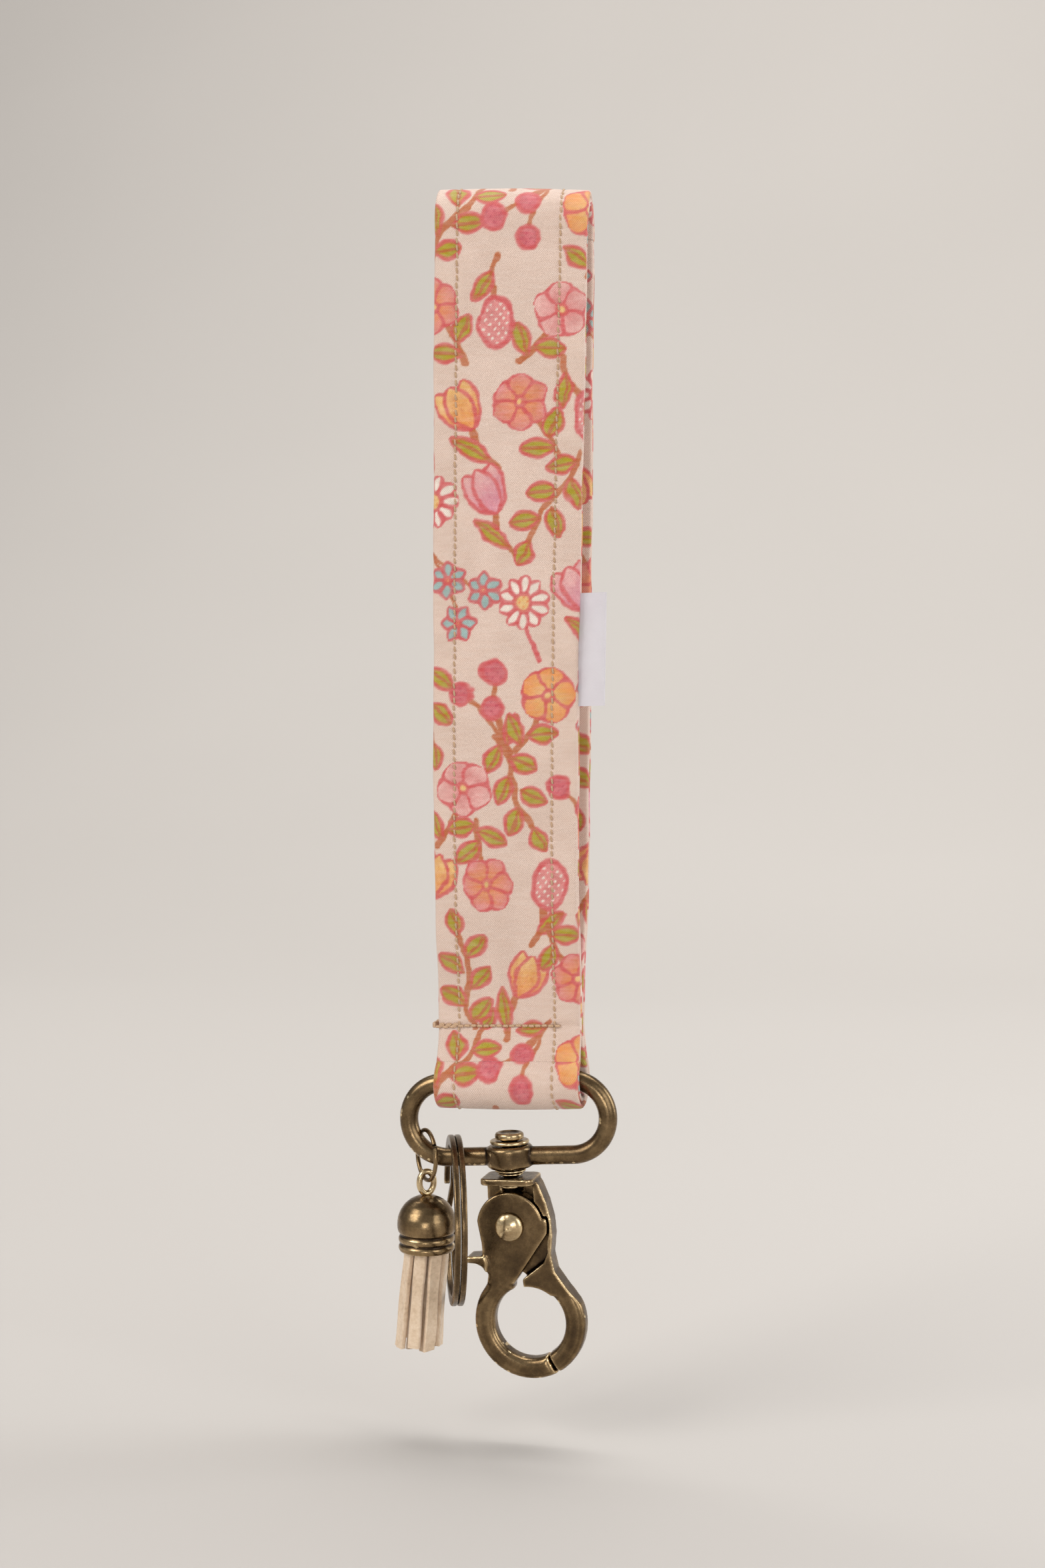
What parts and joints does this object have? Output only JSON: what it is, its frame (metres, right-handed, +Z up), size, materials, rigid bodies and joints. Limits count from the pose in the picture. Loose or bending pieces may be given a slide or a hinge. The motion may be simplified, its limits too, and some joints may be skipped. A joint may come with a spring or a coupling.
{
  "type": "wristlet keychain",
  "caption": "Printed cotton wrist strap on a swivel trigger clasp, with a split ring for keys and a small suede tassel.",
  "frame": {"origin": "inside top of the wrist loop, where it hangs on whatever holds it", "axes": "+X to the right along the oval frame's bars, +Y to the back, +Z up along the strap; the clasp's trigger faces -Y"},
  "size_m": [0.0421, 0.0298, 0.216],
  "materials": {
    "printed_cotton": "plain-weave cotton with a floral print, matt",
    "interfacing": "stiff woven core, matt",
    "thread": "taupe sewing thread",
    "label_tape": "smooth white satin tape",
    "antique_brass": "antique brass, satin, darker in the recesses",
    "spring_steel": "drawn spring wire",
    "suede": "light tan suede, matt"
  },
  "bodies": {
    "strap": {"strap_fabric": "printed_cotton", "strap_interfacing": "interfacing", "topstitch_left": "thread", "topstitch_right": "thread", "cross_stitch": "thread", "side_label": "label_tape"},
    "frame": {"oval_frame": "antique_brass"},
    "hook": {"hook_body": "antique_brass", "swivel_post": "antique_brass", "swivel_washer_top": "antique_brass", "swivel_washer_bottom": "antique_brass", "pivot_rivet": "antique_brass"},
    "trigger_arm": {"trigger": "antique_brass", "trigger_spring": "spring_steel"},
    "key_ring": {"split_ring": "antique_brass"},
    "tassel_ring": {"jump_ring": "antique_brass"},
    "tassel": {"tassel_cap": "antique_brass", "tassel_core": "suede", "tassel_strip_1": "suede", "tassel_strip_2": "suede", "tassel_strip_3": "suede", "tassel_strip_4": "suede", "tassel_strip_5": "suede", "tassel_strip_6": "suede", "tassel_strip_7": "suede", "tassel_strip_8": "suede", "tassel_strip_9": "suede", "tassel_strip_10": "suede", "tassel_strip_11": "suede"}
  },
  "joints": [
    {"name": "frame_swing", "type": "hinge", "parent": "strap", "child": "frame", "pos_m": [-0.002, 0, -0.15835], "axis": [0.9976, 0, 0.0698], "range_deg": [-80, 80]},
    {"name": "swivel_turn", "type": "hinge", "parent": "frame", "child": "hook", "pos_m": [-0.00104, 0, -0.17212], "axis": [-0.0349, 0, 0.9994], "range_deg": [-90, 90]},
    {"name": "trigger_open", "type": "hinge", "parent": "hook", "child": "trigger_arm", "pos_m": [-0.0006, 0, -0.18471], "axis": [0, 1, 0], "range_deg": [0, 8], "stiffness_Nm_per_rad": 0.04, "springref_deg": -17.19},
    {"name": "key_ring_swing", "type": "hinge", "parent": "frame", "child": "key_ring", "pos_m": [-0.01144, 0, -0.17284], "axis": [0.9976, 0, 0.0698], "range_deg": [-1, 18]},
    {"name": "tassel_ring_swing", "type": "hinge", "parent": "frame", "child": "tassel_ring", "pos_m": [-0.01694, 0, -0.17198], "axis": [0.788, 0.6157, 0], "range_deg": [-1, 22]},
    {"name": "tassel_swing", "type": "hinge", "parent": "tassel_ring", "child": "tassel", "pos_m": [-0.01694, 0, -0.17739], "axis": [-0.6157, 0.788, 0], "range_deg": [0, 22]}
  ]
}
